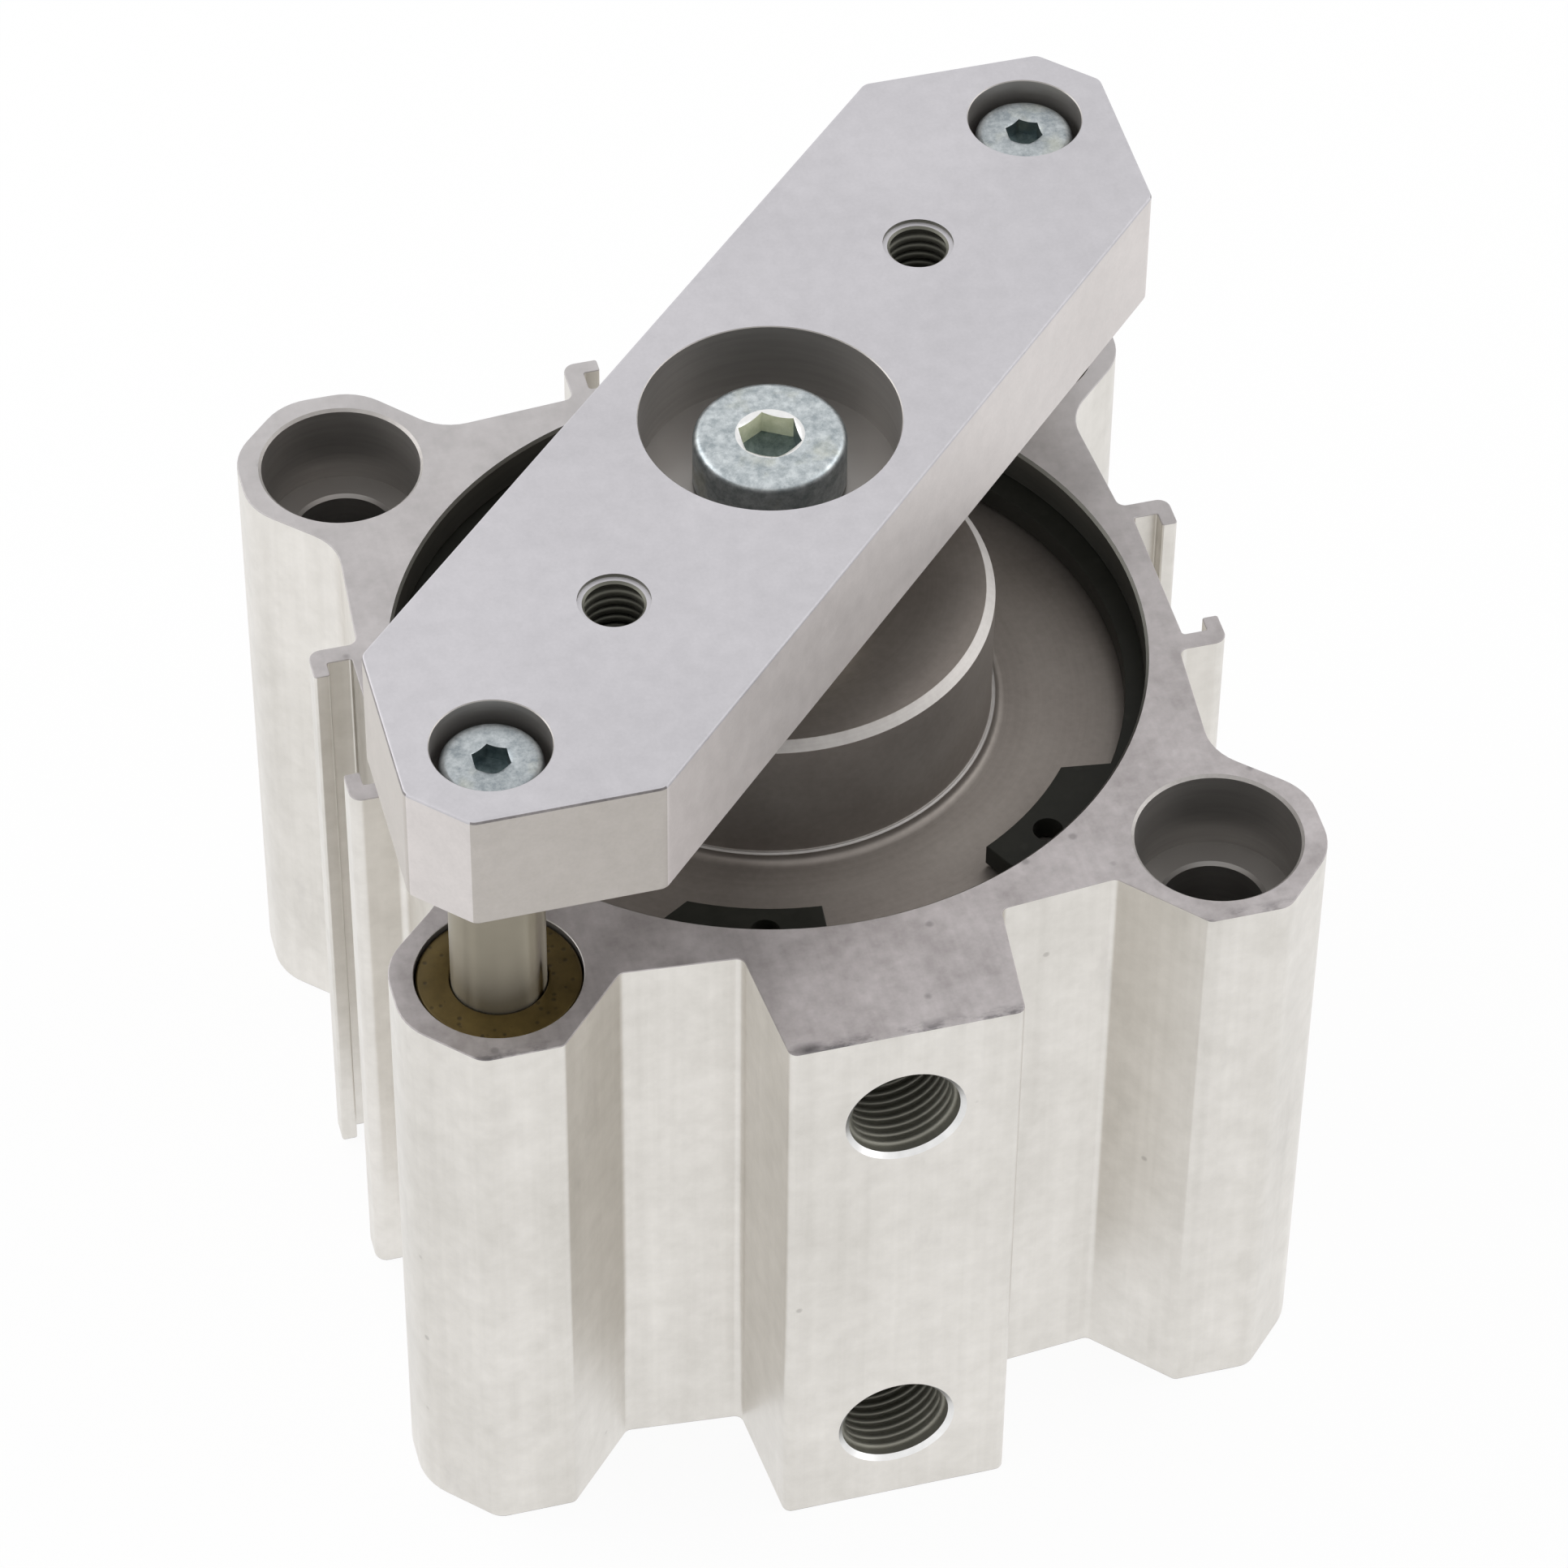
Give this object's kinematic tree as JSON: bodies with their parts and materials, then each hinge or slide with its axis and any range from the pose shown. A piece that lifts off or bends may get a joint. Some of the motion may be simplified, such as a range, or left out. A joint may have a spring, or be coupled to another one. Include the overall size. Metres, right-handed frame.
{
  "type": "short stroke cylinder",
  "caption": "Double-acting short stroke pneumatic cylinder with a guided diagonal plate, a raised rod hub, sensor slots and two side ports.",
  "frame": {"origin": "centre of the overall box at the body's rear face, 2.85 mm in front of the rod's axis", "axes": "+Z along the rod's axis in the extending direction, -Y towards the port block, +X to the right seen from the ports"},
  "size_m": [0.08, 0.0856, 0.0887],
  "materials": {
    "anodised_body": "clear anodised extrusion, satin, with drawn lines; machined end faces greyer",
    "plate_aluminium": "clear anodised bar, fine satin",
    "cover_aluminium": "grey brown anodised, turned, with bright edges",
    "turned_aluminium": "bare turned aluminium",
    "spring_steel": "black phosphated spring steel",
    "rod_steel": "ground and polished",
    "zinc_steel": "bright blue zinc plating",
    "sintered_bronze": "oil soaked sintered bronze, dark",
    "seal_rubber": "black nitrile rubber",
    "bumper_rubber": "amber polyurethane",
    "bonded_magnet": "plastic bonded magnet, dull",
    "bearing_plastic": "filled bearing plastic, dull"
  },
  "bodies": {
    "barrel": {"cylinder_body": "anodised_body", "front_cover": "cover_aluminium", "rear_cover": "cover_aluminium", "front_cover_o_ring": "seal_rubber", "rear_cover_o_ring": "seal_rubber", "front_retaining_ring": "spring_steel", "rear_retaining_ring": "spring_steel", "rod_bush": "sintered_bronze", "rod_seal": "seal_rubber", "upper_guide_bush_front_left": "sintered_bronze", "upper_guide_bush_back_right": "sintered_bronze", "lower_guide_bush_front_left": "sintered_bronze", "lower_guide_bush_back_right": "sintered_bronze"},
    "moving_unit": {"piston_rod": "rod_steel", "piston_front_half": "turned_aluminium", "piston_rear_half": "turned_aluminium", "piston_magnet": "bonded_magnet", "piston_guide_ring": "bearing_plastic", "piston_seal_front": "seal_rubber", "piston_seal_rear": "seal_rubber", "front_bumper": "bumper_rubber", "rear_bumper": "bumper_rubber", "rod_o_ring": "seal_rubber", "piston_screw": "zinc_steel", "guide_plate": "plate_aluminium", "centre_screw": "zinc_steel", "guide_rod_front_left": "rod_steel", "guide_rod_back_right": "rod_steel", "guide_screw_front_left": "zinc_steel", "guide_screw_back_right": "zinc_steel"}
  },
  "joints": [
    {"name": "rod_stroke", "type": "slide", "parent": "barrel", "child": "moving_unit", "axis": [0, 0, 1], "range_m": [0, 0.01]}
  ]
}
